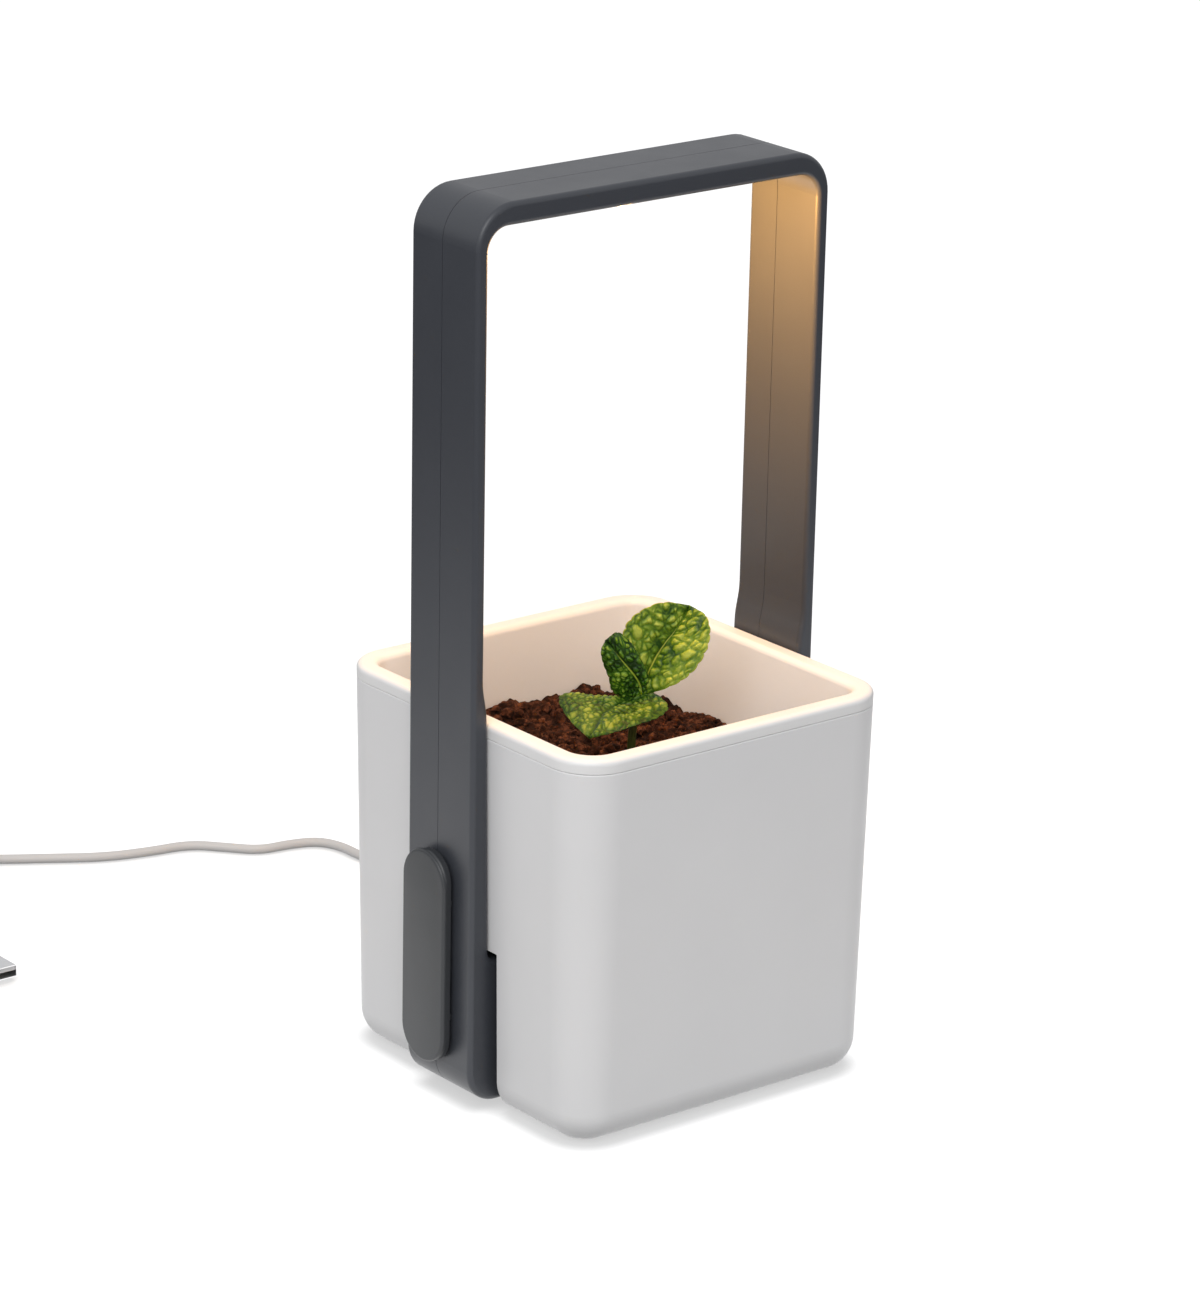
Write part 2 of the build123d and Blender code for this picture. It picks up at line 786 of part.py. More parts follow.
coil_middle = Vector(coil_x, coil_y, 0)
tie_top = coil_height + tie_proud
tie_out = Vector(cos(radians(tie_angle)), sin(radians(tie_angle)), 0)
tie_middle = coil_middle + tie_out * coil_turn_radius - tie_out.cross(Vector(0, 0, 1)) * tie_width / 2

with BuildPart() as cord_tie:
    with BuildSketch(Plane(tie_middle, x_dir=tie_out, z_dir=tie_out.cross(Vector(0, 0, 1)))):
        with Locations((0, tie_top / 2)):
            Rectangle(coil_height + 2 * tie_proud, tie_top)
            Rectangle(
                coil_height + 2 * (tie_proud - tie_thickness),
                tie_top - 2 * tie_thickness,
                mode=Mode.SUBTRACT,
            )
    extrude(amount=tie_width)

with BuildPart() as cord_coil:
    with BuildSketch():
        with Locations((coil_x, coil_y)):
            Circle(coil_outer)
            Circle(coil_inner, mode=Mode.SUBTRACT)
    extrude(amount=coil_height)
    fillet(cord_coil.edges(), coil_edge)
    add(cord_tie.part, mode=Mode.SUBTRACT)
    add(power_cord.part, mode=Mode.SUBTRACT)
    add(cord_tail.part, mode=Mode.SUBTRACT)

grip_x = tail_route[-1][0]
grip_y = tail_route[-1][1]
shell_y = grip_y - grip_length

with BuildPart() as plug_grip:
    with BuildSketch(Plane.XZ.offset(-grip_y)):
        with Locations((grip_x, grip_z)):
            RectangleRounded(grip_width, grip_height, grip_round)
    extrude(amount=grip_length)
    fillet(plug_grip.edges().group_by(Axis.Y)[-1], grip_edge)
    fillet(plug_grip.edges().group_by(Axis.Y)[0], grip_edge)
    add(cord_tail.part, mode=Mode.SUBTRACT)

with BuildPart() as plug_shell:
    with BuildSketch(Plane.XZ.offset(-shell_y)):
        with Locations((grip_x, grip_z)):
            RectangleRounded(plug_width, plug_height, 2 * plug_wall)
            Rectangle(plug_width - 2 * plug_wall, plug_height - 2 * plug_wall, mode=Mode.SUBTRACT)
    extrude(amount=plug_length)

with BuildPart() as plug_tongue:
    with BuildSketch(Plane.XZ.offset(-shell_y)):
        with Locations((grip_x, grip_z + (plug_height - tongue_height) / 2 - plug_wall)):
            Rectangle(plug_width - 2 * plug_wall, tongue_height)
    extrude(amount=plug_length - 1)

# ---------------------------------------------------------------- labels and files

front_shell.part.label = "front_shell"
export_step(front_shell.part, "parts/front_shell.step")

rear_shell.part.label = "rear_shell"
export_step(rear_shell.part, "parts/rear_shell.step")

shell_screws.part.label = "shell_screws"
export_step(shell_screws.part, "parts/shell_screws.step")

rubber_feet.part.label = "rubber_feet"
export_step(rubber_feet.part, "parts/rubber_feet.step")

lamp_lens.part.label = "lamp_lens"
export_step(lamp_lens.part, "parts/lamp_lens.step")

lamp_board.part.label = "lamp_board"
export_step(lamp_board.part, "parts/lamp_board.step")

lamp_leds.part.label = "lamp_leds"
export_step(lamp_leds.part, "parts/lamp_leds.step")

lamp_wire.part.label = "lamp_wire"
export_step(lamp_wire.part, "parts/lamp_wire.step")

control_board.part.label = "control_board"
export_step(control_board.part, "parts/control_board.step")

switch_body.part.label = "switch_body"
export_step(switch_body.part, "parts/switch_body.step")

supply_wire.part.label = "supply_wire"
export_step(supply_wire.part, "parts/supply_wire.step")

cord_relief.part.label = "cord_relief"
export_step(cord_relief.part, "parts/cord_relief.step")

power_button.part.label = "power_button"
export_step(power_button.part, "parts/power_button.step")

switch_plunger.part.label = "switch_plunger"
export_step(switch_plunger.part, "parts/switch_plunger.step")

outer_pot.part.label = "outer_pot"
export_step(outer_pot.part, "parts/outer_pot.step")

planter.part.label = "planter"
export_step(planter.part, "parts/planter.step")

wick_front.part.label = "wick_front"
export_step(wick_front.part, "parts/wick_front.step")

wick_rear.part.label = "wick_rear"
export_step(wick_rear.part, "parts/wick_rear.step")

soil.part.label = "soil"
export_step(soil.part, "parts/soil.step")

seedling.part.label = "seedling"
export_step(seedling.part, "parts/seedling.step")

power_cord.part.label = "power_cord"
export_step(power_cord.part, "parts/power_cord.step")

cord_coil.part.label = "cord_coil"
export_step(cord_coil.part, "parts/cord_coil.step")

cord_tie.part.label = "cord_tie"
export_step(cord_tie.part, "parts/cord_tie.step")

cord_tail.part.label = "cord_tail"
export_step(cord_tail.part, "parts/cord_tail.step")

plug_grip.part.label = "plug_grip"
export_step(plug_grip.part, "parts/plug_grip.step")

plug_shell.part.label = "plug_shell"
export_step(plug_shell.part, "parts/plug_shell.step")

plug_tongue.part.label = "plug_tongue"
export_step(plug_tongue.part, "parts/plug_tongue.step")
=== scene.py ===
import math
import random

import bmesh
import bpy
from mathutils import Matrix, Vector, noise


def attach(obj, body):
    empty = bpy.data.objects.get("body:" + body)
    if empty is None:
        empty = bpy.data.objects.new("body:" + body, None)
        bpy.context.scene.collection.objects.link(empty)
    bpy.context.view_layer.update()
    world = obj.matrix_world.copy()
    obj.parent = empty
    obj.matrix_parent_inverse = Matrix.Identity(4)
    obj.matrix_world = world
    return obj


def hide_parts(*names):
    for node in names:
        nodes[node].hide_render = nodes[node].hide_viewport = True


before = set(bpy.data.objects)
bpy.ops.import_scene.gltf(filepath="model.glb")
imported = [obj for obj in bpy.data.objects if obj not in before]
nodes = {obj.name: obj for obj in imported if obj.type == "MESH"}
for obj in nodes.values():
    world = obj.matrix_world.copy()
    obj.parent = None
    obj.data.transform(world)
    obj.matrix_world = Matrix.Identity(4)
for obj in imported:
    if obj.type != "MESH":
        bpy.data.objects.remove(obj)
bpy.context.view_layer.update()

mm = 0.001

print("camera, light and floor")

view = {
    "place": (-1.04518, -1.29516, 0.70749),
    "looksAt": (-0.00617, 0.0, 0.14444),
    "roll": math.radians(1.202),
    "lens": 147.19,
    "sensor": 36.0,
    "nearest": 0.05,           # metres
}


def placeCamera():
    place = Vector(view["place"])
    forward = (Vector(view["looksAt"]) - place).normalized()
    level = forward.cross(Vector((0, 0, 1))).normalized()
    upright = level.cross(forward)
    turned = level * math.cos(view["roll"]) + upright * math.sin(view["roll"])
    above = upright * math.cos(view["roll"]) - level * math.sin(view["roll"])
    data = bpy.data.cameras.new("camera")
    data.lens = view["lens"]
    data.sensor_width = view["sensor"]
    data.clip_start = view["nearest"]
    camera = bpy.data.objects.new("camera", data)
    axes = Matrix((turned, above, -forward)).transposed().to_4x4()
    camera.matrix_world = Matrix.Translation(place) @ axes
    bpy.context.scene.collection.objects.link(camera)
    bpy.context.scene.camera = camera


placeCamera()
bpy.context.scene.view_settings.view_transform = "Standard"

studio = {
    "worldLight": 0.62,
    "mirrored": 0.46,        # how bright the room looks in gloss and glass
    "worldColour": (0.97, 0.98, 1, 1),
    # name, place, size and watts
    "softBoxes": [
        ("key", (-1.05, -0.92, 1.25), (1.1, 1.1), 15.0),
        ("leftSide", (-1.5, 0.1, 0.9), (0.9, 1.2), 1.1),
        ("rightSide", (0.9, -1.4, 0.8), (0.9, 1.0), 0.3),
    ],
    "softBoxAim": (0, 0, 0.12),
    "floorSize": 6,
    "floorNear": (0.24, 0.24, 0.24, 1),
    "floorFar": (0.10, 0.10, 0.11, 1),
    "floorNearEnd": 0.30,    # metres from the object's middle
    "floorFarStart": 0.72,
    "floorMirrored": 1.3,
    "contactReach": 0.008,
    "contactClosed": 0.45,   # open share of the sky where the shadow is darkest
    "contactDarkest": 0.55,
}


# settings fill the inputs by name, with underscores for spaces
def node(tree, kind, **settings):
    made = tree.nodes.new(kind)
    for key, value in settings.items():
        if hasattr(made, key):
            setattr(made, key, value)
        else:
            made.inputs[key.replace("_", " ")].default_value = value
    return made


def spread(tree, source, low, high):
    made = node(tree, "ShaderNodeMapRange")
    made.inputs["To Min"].default_value = low
    made.inputs["To Max"].default_value = high
    tree.links.new(source, made.inputs["Value"])
    return made.outputs["Result"]


def greater(tree, first, second):
    made = node(tree, "ShaderNodeMath", operation="MAXIMUM")
    tree.links.new(first, made.inputs[0])
    tree.links.new(second, made.inputs[1])
    return made.outputs[0]


def times(tree, source, factor):
    made = node(tree, "ShaderNodeMath", operation="MULTIPLY")
    tree.links.new(source, made.inputs[0])
    if isinstance(factor, (int, float)):
        made.inputs[1].default_value = factor
    else:
        tree.links.new(factor, made.inputs[1])
    return made.outputs[0]


def makeWorld():
    world = bpy.data.worlds.new("studio")
    bpy.context.scene.world = world
    world.use_nodes = True
    tree = world.node_tree
    tree.nodes.clear()
    lighting = node(tree, "ShaderNodeBackground", Color=studio["worldColour"])
    lighting.inputs["Strength"].default_value = studio["worldLight"]
    backdrop = node(tree, "ShaderNodeBackground", Color=(1, 1, 1, 1), Strength=1.0)
    path = tree.nodes.new("ShaderNodeLightPath")
    mirrored = greater(tree, path.outputs["Is Glossy Ray"], path.outputs["Is Transmission Ray"])
    seen = greater(tree, path.outputs["Is Camera Ray"], times(tree, mirrored, studio["mirrored"]))
    mix = tree.nodes.new("ShaderNodeMixShader")
    out = tree.nodes.new("ShaderNodeOutputWorld")
    tree.links.new(seen, mix.inputs[0])
    tree.links.new(lighting.outputs[0], mix.inputs[1])
    tree.links.new(backdrop.outputs[0], mix.inputs[2])
    tree.links.new(mix.outputs[0], out.inputs[0])


# In mirrors the sweep is bright where the object stands and dark further out, as in a dark
# studio. The camera sees it white all over, with the object's shadow on it.
def makeFloor():
    shape = bmesh.new()
    bmesh.ops.create_grid(shape, x_segments=1, y_segments=1, size=studio["floorSize"])
    mesh = bpy.data.meshes.new("floor")
    shape.to_mesh(mesh)
    shape.free()
    floor = bpy.data.objects.new("floor", mesh)
    bpy.context.scene.collection.objects.link(floor)
    material = bpy.data.materials.new("floor")
    material.use_nodes = True
    tree = material.node_tree
    tree.nodes.clear()
    place = tree.nodes.new("ShaderNodeTexCoord")
    reach = node(tree, "ShaderNodeVectorMath", operation="LENGTH")
    tree.links.new(place.outputs["Object"], reach.inputs[0])
    far = node(tree, "ShaderNodeMapRange", interpolation_type="SMOOTHSTEP")
    far.inputs["From Min"].default_value = studio["floorNearEnd"]
    far.inputs["From Max"].default_value = studio["floorFarStart"]
    tree.links.new(reach.outputs["Value"], far.inputs["Value"])
    colour = node(tree, "ShaderNodeMix", data_type="RGBA")
    colour.inputs[6].default_value = studio["floorNear"]
    colour.inputs[7].default_value = studio["floorFar"]
    tree.links.new(far.outputs["Result"], colour.inputs["Factor"])
    matte = node(tree, "ShaderNodeBsdfDiffuse")
    tree.links.new(colour.outputs[2], matte.inputs["Color"])
    path = tree.nodes.new("ShaderNodeLightPath")
    mirrored = greater(tree, path.outputs["Is Glossy Ray"], path.outputs["Is Transmission Ray"])
    # a tight shadow where the object meets the floor
    contact = node(tree, "ShaderNodeAmbientOcclusion", samples=16, Distance=studio["contactReach"])
    openness = node(tree, "ShaderNodeMapRange")
    openness.inputs["From Min"].default_value = studio["contactClosed"]
    openness.inputs["To Min"].default_value = studio["contactDarkest"]
    tree.links.new(contact.outputs["AO"], openness.inputs["Value"])
    toCamera = times(tree, path.outputs["Is Camera Ray"], openness.outputs["Result"])
    toMirrors = times(tree, mirrored, spread(tree, far.outputs["Result"], studio["floorMirrored"], 0.0))
    lift = node(tree, "ShaderNodeEmission", Color=(1, 1, 1, 1))
    tree.links.new(greater(tree, toCamera, toMirrors), lift.inputs["Strength"])
    both = tree.nodes.new("ShaderNodeAddShader")
    out = tree.nodes.new("ShaderNodeOutputMaterial")
    tree.links.new(matte.outputs[0], both.inputs[0])
    tree.links.new(lift.outputs[0], both.inputs[1])
    tree.links.new(both.outputs[0], out.inputs[0])
    mesh.materials.append(material)


def softBox(name, place, size, power):
    data = bpy.data.lights.new(name, "AREA")
    data.shape = "RECTANGLE"
    data.size, data.size_y = size
    data.energy = power
    light = bpy.data.objects.new(name, data)
    aim = Vector(studio["softBoxAim"]) - Vector(place)
    turn = aim.to_track_quat("-Z", "Y").to_matrix().to_4x4()
    light.matrix_world = Matrix.Translation(place) @ turn
    bpy.context.scene.collection.objects.link(light)


makeWorld()
makeFloor()
for softBoxName, place, size, power in studio["softBoxes"]:
    softBox(softBoxName, place, size, power)

# The chips are small bright points, so the windows cut their light off sharply.
# The glow is what the frosted lens spreads, most of it along the bar to the legs.
lamp = {
    "chips": [(-37 * mm, 0, 302.2 * mm), (0, 0, 302.2 * mm), (37 * mm, 0, 302.2 * mm)],
    "chipPower": 0.04,
    "chipSize": 0.4 * mm,
    "glow": (0, 0, 293 * mm),
    "glowPower": 0.72,
    "glowSize": 3 * mm,
    "sidePower": 1.3,
    "sideAim": (1.0, 0, -0.34),
    "sideCone": math.radians(104),
    "sideBlend": 0.6,
    "colour": (1.0, 0.50, 0.14),
}


def lampLight(name, kind, place, power, size):
    data = bpy.data.lights.new(name, kind)
    data.energy = power
    data.color = lamp["colour"]
    data.shadow_soft_size = size
    light = bpy.data.objects.new(name, data)
    light.location = place
    bpy.context.scene.collection.objects.link(light)
    return light


def lightLamp():
    for index, place in enumerate(lamp["chips"]):
        lampLight("lampChip" + str(index), "POINT", place, lamp["chipPower"], lamp["chipSize"])
    lampLight("lampGlow", "POINT", lamp["glow"], lamp["glowPower"], lamp["glowSize"])
    for side in (-1, 1):
        name = "lampSide" + str(side + 1)
        light = lampLight(name, "SPOT", lamp["glow"], lamp["sidePower"], lamp["glowSize"])
        light.data.spot_size = lamp["sideCone"]
        light.data.spot_blend = lamp["sideBlend"]
        aim = Vector((side * lamp["sideAim"][0], 0, lamp["sideAim"][2]))
        turn = aim.to_track_quat("-Z", "Y").to_matrix().to_4x4()
        light.matrix_world = Matrix.Translation(lamp["glow"]) @ turn


lightLamp()

print("materials")


def newMaterial(name, **values):
    material = bpy.data.materials.new(name)
    material.use_nodes = True
    tree = material.node_tree
    shader = tree.nodes["Principled BSDF"]
    for key, value in values.items():
        shader.inputs[key.replace("_", " ")].default_value = value
    return material, tree, shader


def objectPlace(tree):
    return tree.nodes.new("ShaderNodeTexCoord").outputs["Object"]


def blotches(tree, scale, detail=3.0, rough=0.55, place=None):
    found = node(tree, "ShaderNodeTexNoise", Scale=scale, Detail=detail, Roughness=rough)
    tree.links.new(place or objectPlace(tree), found.inputs["Vector"])
    return found.outputs["Fac"]


def ramp(tree, source, stops):
    made = tree.nodes.new("ShaderNodeValToRGB")
    ends = made.color_ramp.elements
    while len(ends) < len(stops):
        ends.new(0.5)
    for end, (position, colour) in zip(ends, stops):
        end.position = position
        end.color = (*colour, 1)
    tree.links.new(source, made.inputs[0])
    return made.outputs["Color"]


def addBump(tree, shader, source, depth, strength=1.0):
    bump = node(tree, "ShaderNodeBump", Strength=strength, Distance=depth)
    tree.links.new(source, bump.inputs["Height"])
    before = shader.inputs["Normal"]
    if before.is_linked:
        tree.links.new(before.links[0].from_socket, bump.inputs["Normal"])
    tree.links.new(bump.outputs[0], before)


def shade(colour, factor):
    return tuple(min(1.0, part * factor) for part in colour)


plastic = {
    "mottleScale": 22,
    "glossScale": 60,
    "glossSpread": 0.05,
}


# spark-eroded texture with faint colour and gloss variation
def mouldedPlastic(name, colour, roughness, grain, grainDepth, mottle=0.04):
    material, tree, shader = newMaterial(name)
    wide = blotches(tree, plastic["mottleScale"])
    tone = ramp(tree, wide, [(0.3, shade(colour, 1 - mottle)), (0.7, shade(colour, 1 + mottle))])
    tree.links.new(tone, shader.inputs["Base Color"])
    fine = blotches(tree, plastic["glossScale"])
    gloss = spread(tree, fine, roughness - plastic["glossSpread"], roughness + plastic["glossSpread"])
    tree.links.new(gloss, shader.inputs["Roughness"])
    addBump(tree, shader, blotches(tree, grain, 2.0), grainDepth)
    return material


def metal(name, colour, roughness, scale):
    material, tree, shader = newMaterial(name, Metallic=1.0)
    streaks = node(tree, "ShaderNodeMapping", Scale=(1, 30, 1))
    tree.links.new(objectPlace(tree), streaks.inputs["Vector"])
    lines = blotches(tree, scale, 4.0, place=streaks.outputs[0])
    tone = ramp(tree, lines, [(0.3, shade(colour, 0.88)), (0.7, colour)])
    tree.links.new(tone, shader.inputs["Base Color"])
    tree.links.new(spread(tree, lines, roughness - 0.06, roughness + 0.08), shader.inputs["Roughness"])
    addBump(tree, shader, lines, 0.00001)
    return material


def solderMask(name, colour):
    material, tree, shader = newMaterial(name, Roughness=0.3)
    cells = node(tree, "ShaderNodeTexVoronoi", Scale=500.0, feature="DISTANCE_TO_EDGE")
    tree.links.new(objectPlace(tree), cells.inputs["Vector"])
    tone = ramp(tree, cells.outputs["Distance"], [(0.02, shade(colour, 1.8)), (0.06, colour)])
    tree.links.new(tone, shader.inputs["Base Color"])
    addBump(tree, shader, cells.outputs["Distance"], 0.00002)
    return material


def clearPlastic(name):
    material, tree, shader = newMaterial(name, Alpha=0.25, IOR=1.49)
    shader.inputs["Base Color"].default_value = (0.95, 0.94, 0.9, 1)
    tree.links.new(spread(tree, blotches(tree, 300), 0.12, 0.22), shader.inputs["Roughness"])
    addBump(tree, shader, blotches(tree, 900, 1.0), 0.00001)
    return material


def phosphor(name):
    material, tree, shader = newMaterial(name, Roughness=0.5)
    tone = ramp(tree, blotches(tree, 1500), [(0.3, (0.9, 0.62, 0.2)), (0.7, (1, 0.8, 0.4))])
    tree.links.new(tone, shader.inputs["Base Color"])
    shader.inputs["Emission Color"].default_value = (1, 0.72, 0.42, 1)
    shader.inputs["Emission Strength"].default_value = 4.0
    return material


def felt(name, colour):
    material, tree, shader = newMaterial(name, Roughness=0.95)
    strands = node(tree, "ShaderNodeMapping", Scale=(1, 1, 0.15))
    tree.links.new(objectPlace(tree), strands.inputs["Vector"])
    lines = blotches(tree, 1800, 5.0, place=strands.outputs[0])
    tone = ramp(tree, lines, [(0.3, shade(colour, 0.7)), (0.7, colour)])
    tree.links.new(tone, shader.inputs["Base Color"])
    addBump(tree, shader, lines, 0.0003)
    return material


framePlastic = mouldedPlastic("framePlastic", (0.044, 0.048, 0.058), 0.40, 2600, 0.000025)
buttonPlastic = mouldedPlastic("buttonPlastic", (0.034, 0.037, 0.041), 0.42, 2600, 0.000025)
potPlastic = mouldedPlastic("potPlastic", (0.83, 0.825, 0.825), 0.40, 1800, 0.000015, 0.012)
# paler than the outer pot's white: painted light, brightening the planter's inside walls
planterPlasticPaintedLight = mouldedPlastic("planterPlasticPaintedLight", (0.89, 0.885, 0.875), 0.42, 1800, 0.000015, 0.012)
leadSheath = mouldedPlastic("leadSheath", (0.62, 0.615, 0.61), 0.48, 1500, 0.00002, 0.02)
footRubber = mouldedPlastic("footRubber", (0.03, 0.03, 0.031), 0.8, 1200, 0.00005, 0.15)
switchPlastic = mouldedPlastic("switchPlastic", (0.02, 0.02, 0.021), 0.45, 1500, 0.00003, 0.1)
redSleeve = mouldedPlastic("redSleeve", (0.5, 0.03, 0.025), 0.35, 900, 0.00001, 0.05)
insertPlastic = mouldedPlastic("insertPlastic", (0.75, 0.75, 0.75), 0.4, 900, 0.00001, 0.03)
screwZinc = metal("screwZinc", (0.62, 0.62, 0.64), 0.32, 400)
plugNickel = metal("plugNickel", (0.74, 0.74, 0.75), 0.22, 300)
boardGreen = solderMask("boardGreen", (0.012, 0.10, 0.035))
lensClear = clearPlastic("lensClear")
chipPhosphor = phosphor("chipPhosphor")
wickFelt = felt("wickFelt", (0.72, 0.69, 0.62))
tieHook = felt("tieHook", (0.05, 0.05, 0.052))

finishes = {
    "front_shell": framePlastic,
    "rear_shell": framePlastic,
    "shell_screws": screwZinc,
    "rubber_feet": footRubber,
    "lamp_lens": lensClear,
    "lamp_board": boardGreen,
    "lamp_leds": chipPhosphor,
    "lamp_wire": redSleeve,
    "control_board": boardGreen,
    "switch_body": switchPlastic,
    "supply_wire": leadSheath,
    "cord_relief": leadSheath,
    "power_button": buttonPlastic,
    "switch_plunger": switchPlastic,
    "outer_pot": potPlastic,
    "planter": planterPlasticPaintedLight,
    "wick_front": wickFelt,
    "wick_rear": wickFelt,
    "cord_tie": tieHook,
    "plug_grip": leadSheath,
    "plug_shell": plugNickel,
    "plug_tongue": insertPlastic,
}

for nodeName, material in finishes.items():
    slots = nodes[nodeName].data.materials
    slots.clear()
    slots.append(material)

print("button")

button = {
    "length": 74.2,
    "width": 22.5,
    "middle": (2.5, 51.5),     # along Y and Z
    "proud": 0.7,              # over the key that it covers
    "thick": 1.5,
    "edge": 1.0,
    "edgeSteps": 5,
    "corners": 72,
    "sharpFrom": math.radians(35),
}


# the key's cap, a flat face with a rounded edge
def coverButton():
    key = [vertex.co.x for vertex in nodes["power_button"].data.vertices]
    face = min(key) - button["proud"] * mm
    back = face + button["thick"] * mm
    shape = bmesh.new()
    turn = Matrix.Translation((back, 0, 0)) @ Matrix.Rotation(math.radians(-90), 4, "Y")
    half = Matrix.Rotation(math.pi / button["corners"], 4, "Z")
    radius = button["width"] / 2 * mm
    bmesh.ops.create_circle(
        shape, cap_ends=True, segments=button["corners"], radius=radius, matrix=turn @ half
    )
    straight = (button["length"] - button["width"]) / 2
    for vertex in shape.verts:
        vertex.co.y += button["middle"][0] * mm
        vertex.co.z += (button["middle"][1] + math.copysign(straight, vertex.co.z)) * mm
    raised = bmesh.ops.extrude_face_region(shape, geom=shape.faces[:])["geom"]
    front = [part for part in raised if isinstance(part, bmesh.types.BMVert)]
    bmesh.ops.translate(shape, verts=front, vec=(face - back, 0, 0))
    rim = [edge for edge in shape.edges if all(abs(v.co.x - face) < 1e-7 for v in edge.verts)]
    bmesh.ops.bevel(
        shape, geom=rim, offset=button["edge"] * mm, segments=button["edgeSteps"],
        profile=0.5, affect="EDGES", material=-1,
    )
    bmesh.ops.recalc_face_normals(shape, faces=shape.faces)
    mesh = bpy.data.meshes.new("button_cap")
    shape.to_mesh(mesh)
    shape.free()
    mesh.shade_smooth()
    mesh.set_sharp_from_angle(angle=button["sharpFrom"])
    mesh.materials.append(buttonPlastic)
    piece = bpy.data.objects.new("button_cap", mesh)
    bpy.context.scene.collection.objects.link(piece)
    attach(piece, "button")


coverButton()

print("lead and coil")

lead = {
    "diameter": 3.5,
    "length": 1.40,
    "turnRadius": 19.25,
    "pointsPerTurn": 16,
    "roundness": 5,
    "turnsDegrees": 2993.2,     # from where the lead arrives to where it leaves again
    "stepEvery": 335.0,         # degrees between one turn of the bundle and the next
    "stepShare": 0.08,          # the last share of a turn, which moves over
    # each turn's place in the bundle: across from its middle, and layer
    "bundle": [(1, 0), (0, 0), (-1, 0), (-1, 1), (-1, 2), (0, 2), (0, 1), (1, 1), (1, 2)],
    "route": [
        (66.9, 37.5, 18.0), (66.9, 54.0, 18.0), (66.6, 71.0, 12.6), (66.2, 88.0, 4.8),
        (64.5, 107.0, 1.75), (60.5, 129.0, 1.75), (53.0, 151.0, 1.75), (43.5, 173.0, 1.75),
        (37.0, 191.5, 1.75), (37.4, 205.0, 1.75), (33.2, 214.5, 1.75), (22.5, 218.3, 1.75),
        (10.5, 219.3, 1.75), (2.5, 228.0, 1.75), (-7.5, 239.4, 1.75), (-24.0, 241.8, 1.75),
        (-41.0, 246.8, 1.75), (-57.0, 257.0, 1.75), (-74.0, 267.5, 1.75),
        (-87.0, 277.5, 1.75), (-104.5, 285.0, 1.75),
    ],
    # from the coil's side, each a step back along Y, aside along X, and its height
    "tail": [(0, 0, 8.75), (-13, 0, 8.75), (-27.5, 0.3, 4.9), (-41, 1.2, 3.0), (-52.5, 1.5, 4.0)],
}


# turns that lie beside and on each other, and each step to the next place in the bundle
def coilPoints():
    pitch = lead["diameter"]
    cells = lead["bundle"]
    end, before = Vector(lead["route"][-1]), Vector(lead["route"][-2])
    arrive = (end - before).normalized()
    outer = lead["turnRadius"] + pitch
    centre = Vector((end.x - arrive.y * outer, end.y + arrive.x * outer, 0))
    start = math.atan2(end.y - centre.y, end.x - centre.x)
    total = math.radians(lead["turnsDegrees"])
    count = round(total / (2 * math.pi) * lead["pointsPerTurn"])
    step = total / count
    points = []
    for index in range(count):
        angle = (index + 0.5) * step
        along = math.degrees(angle) / lead["stepEvery"]
        cell = min(int(along), len(cells) - 1)
        after = min(cell + 1, len(cells) - 1)
        shift = max(0.0, min(1.0, (along - cell - 1 + lead["stepShare"]) / lead["stepShare"]))
        ring = cells[cell][0] + (cells[after][0] - cells[cell][0]) * shift
        layer = cells[cell][1] + (cells[after][1] - cells[cell][1]) * shift
        radius = (lead["turnRadius"] + ring * pitch) / math.cos(step / 2)
        points.append(centre + Vector((
            radius * math.cos(start + angle),
            radius * math.sin(start + angle),
            (layer + 0.5) * pitch,
        )))
    return centre, points


def layLead():
    centre, coil = coilPoints()
    side = centre.x - lead["turnRadius"] - lead["diameter"]
    tail = [Vector((side + aside, centre.y + back, height)) for back, aside, height in lead["tail"]]
    points = [Vector(point) for point in lead["route"]] + coil + tail
    data = bpy.data.curves.new("powerLead", "CURVE")
    data.dimensions = "3D"
    data.bevel_depth = lead["diameter"] / 2 * mm
    data.bevel_resolution = lead["roundness"]
    data.resolution_u = lead["roundness"]
    data.use_fill_caps = True
    spline = data.splines.new("NURBS")
    spline.points.add(len(points) - 1)
    for target, point in zip(spline.points, points):
        target.co = (*(point * mm), 1)
    spline.order_u = 3
    spline.use_endpoint_u = True
    piece = bpy.data.objects.new("powerLead", data)
    bpy.context.scene.collection.objects.link(piece)
    data.materials.append(leadSheath)
    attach(piece, "loop")
    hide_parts("power_cord", "cord_coil", "cord_tail")
    return piece


powerLead = layLead()

print("plant")


def link(name, shape, material, body, smooth=True):
    mesh = bpy.data.meshes.new(name)
    shape.to_mesh(mesh)
    shape.free()
    if smooth:
        mesh.shade_smooth()
    mesh.materials.append(material)
    piece = bpy.data.objects.new(name, mesh)
    bpy.context.scene.collection.objects.link(piece)
    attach(piece, body)
    return piece


leafFinish = {
    "specular": 0.32,
    "underLight": 0.06,
    "underReach": (0.0006, 0.0012, 0.0002),
    "spotScale": 900,
    "roughness": (0.36, 0.54),
    "poreScale": 2200,
    "poreDepth": 0.00006,
}
